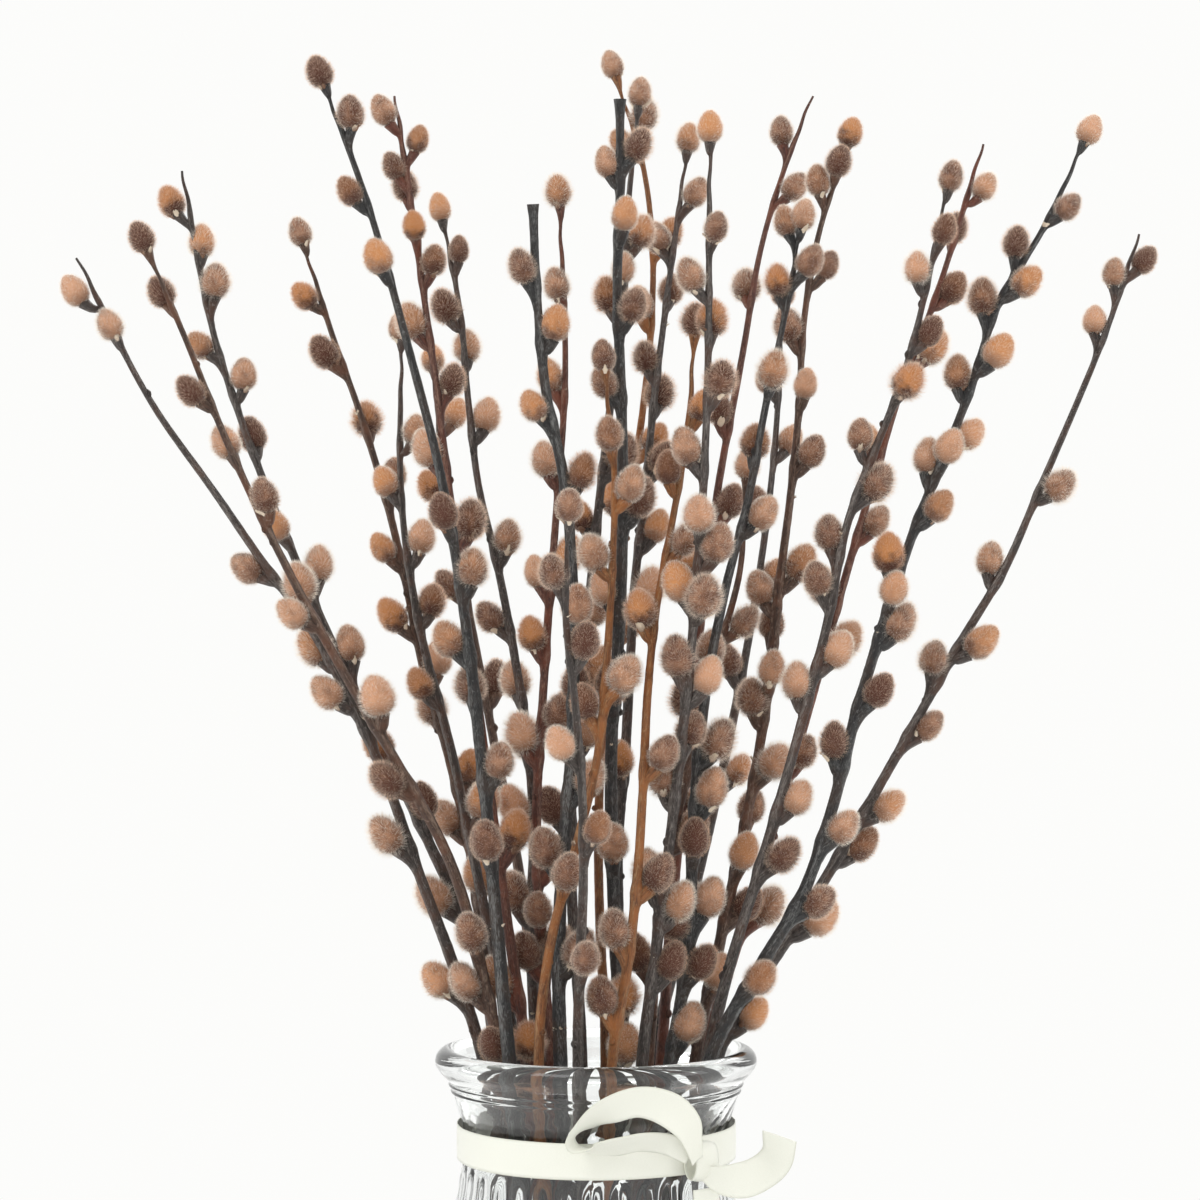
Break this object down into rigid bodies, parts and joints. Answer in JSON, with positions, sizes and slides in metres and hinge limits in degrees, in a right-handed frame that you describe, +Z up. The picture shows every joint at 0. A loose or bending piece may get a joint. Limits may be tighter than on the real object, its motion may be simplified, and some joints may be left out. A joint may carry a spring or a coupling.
{
  "type": "pussy willow stems in a glass vase",
  "caption": "Cut willow stems with furry catkins, fanned out in a clear fluted glass vase with a satin ribbon and bow round its waist.",
  "frame": {"origin": "centre of the vase's flat underside", "axes": "+Z up along the vase's axis, +X to the right and -Y towards the front, where the bow is"},
  "size_m": [0.3668, 0.2046, 0.5003],
  "materials": {
    "vase_glass": "clear pressed glass, glossy",
    "ribbon_satin": "ivory satin",
    "catkin_fur": "silky brown to cream fur",
    "bark_grey": "satin grey-brown bark",
    "bark_black": "satin near-black bark",
    "bark_brown": "satin brown bark",
    "bark_red": "satin red-brown bark",
    "bark_orange": "satin orange-brown bark"
  },
  "bodies": {
    "root": {"vase": "vase_glass", "ribbon_band": "ribbon_satin", "ribbon_knot": "ribbon_satin", "ribbon_loop": "ribbon_satin", "ribbon_tail_curl": "ribbon_satin", "ribbon_tail_hang": "ribbon_satin", "willow_stem_01": "bark_grey", "willow_stem_02": "bark_brown", "willow_stem_03": "bark_grey", "willow_stem_04": "bark_brown", "willow_stem_05": "bark_grey", "willow_stem_06": "bark_black", "willow_stem_07": "bark_red", "willow_stem_08": "bark_grey", "willow_stem_09": "bark_black", "willow_stem_10": "bark_red", "willow_stem_11": "bark_orange", "willow_stem_12": "bark_grey", "willow_stem_13": "bark_black", "willow_stem_14": "bark_grey", "willow_stem_15": "bark_grey", "willow_stem_16": "bark_red", "willow_stem_17": "bark_brown", "willow_stem_18": "bark_black", "willow_stem_19": "bark_grey", "willow_stem_20": "bark_red", "willow_stem_21": "bark_black", "willow_stem_22": "bark_grey", "willow_stem_23": "bark_orange", "willow_stem_24": "bark_orange", "willow_stem_25": "bark_brown", "willow_stem_26": "bark_brown", "willow_stem_27": "bark_grey", "willow_stem_28": "bark_grey"}
  },
  "joints": []
}
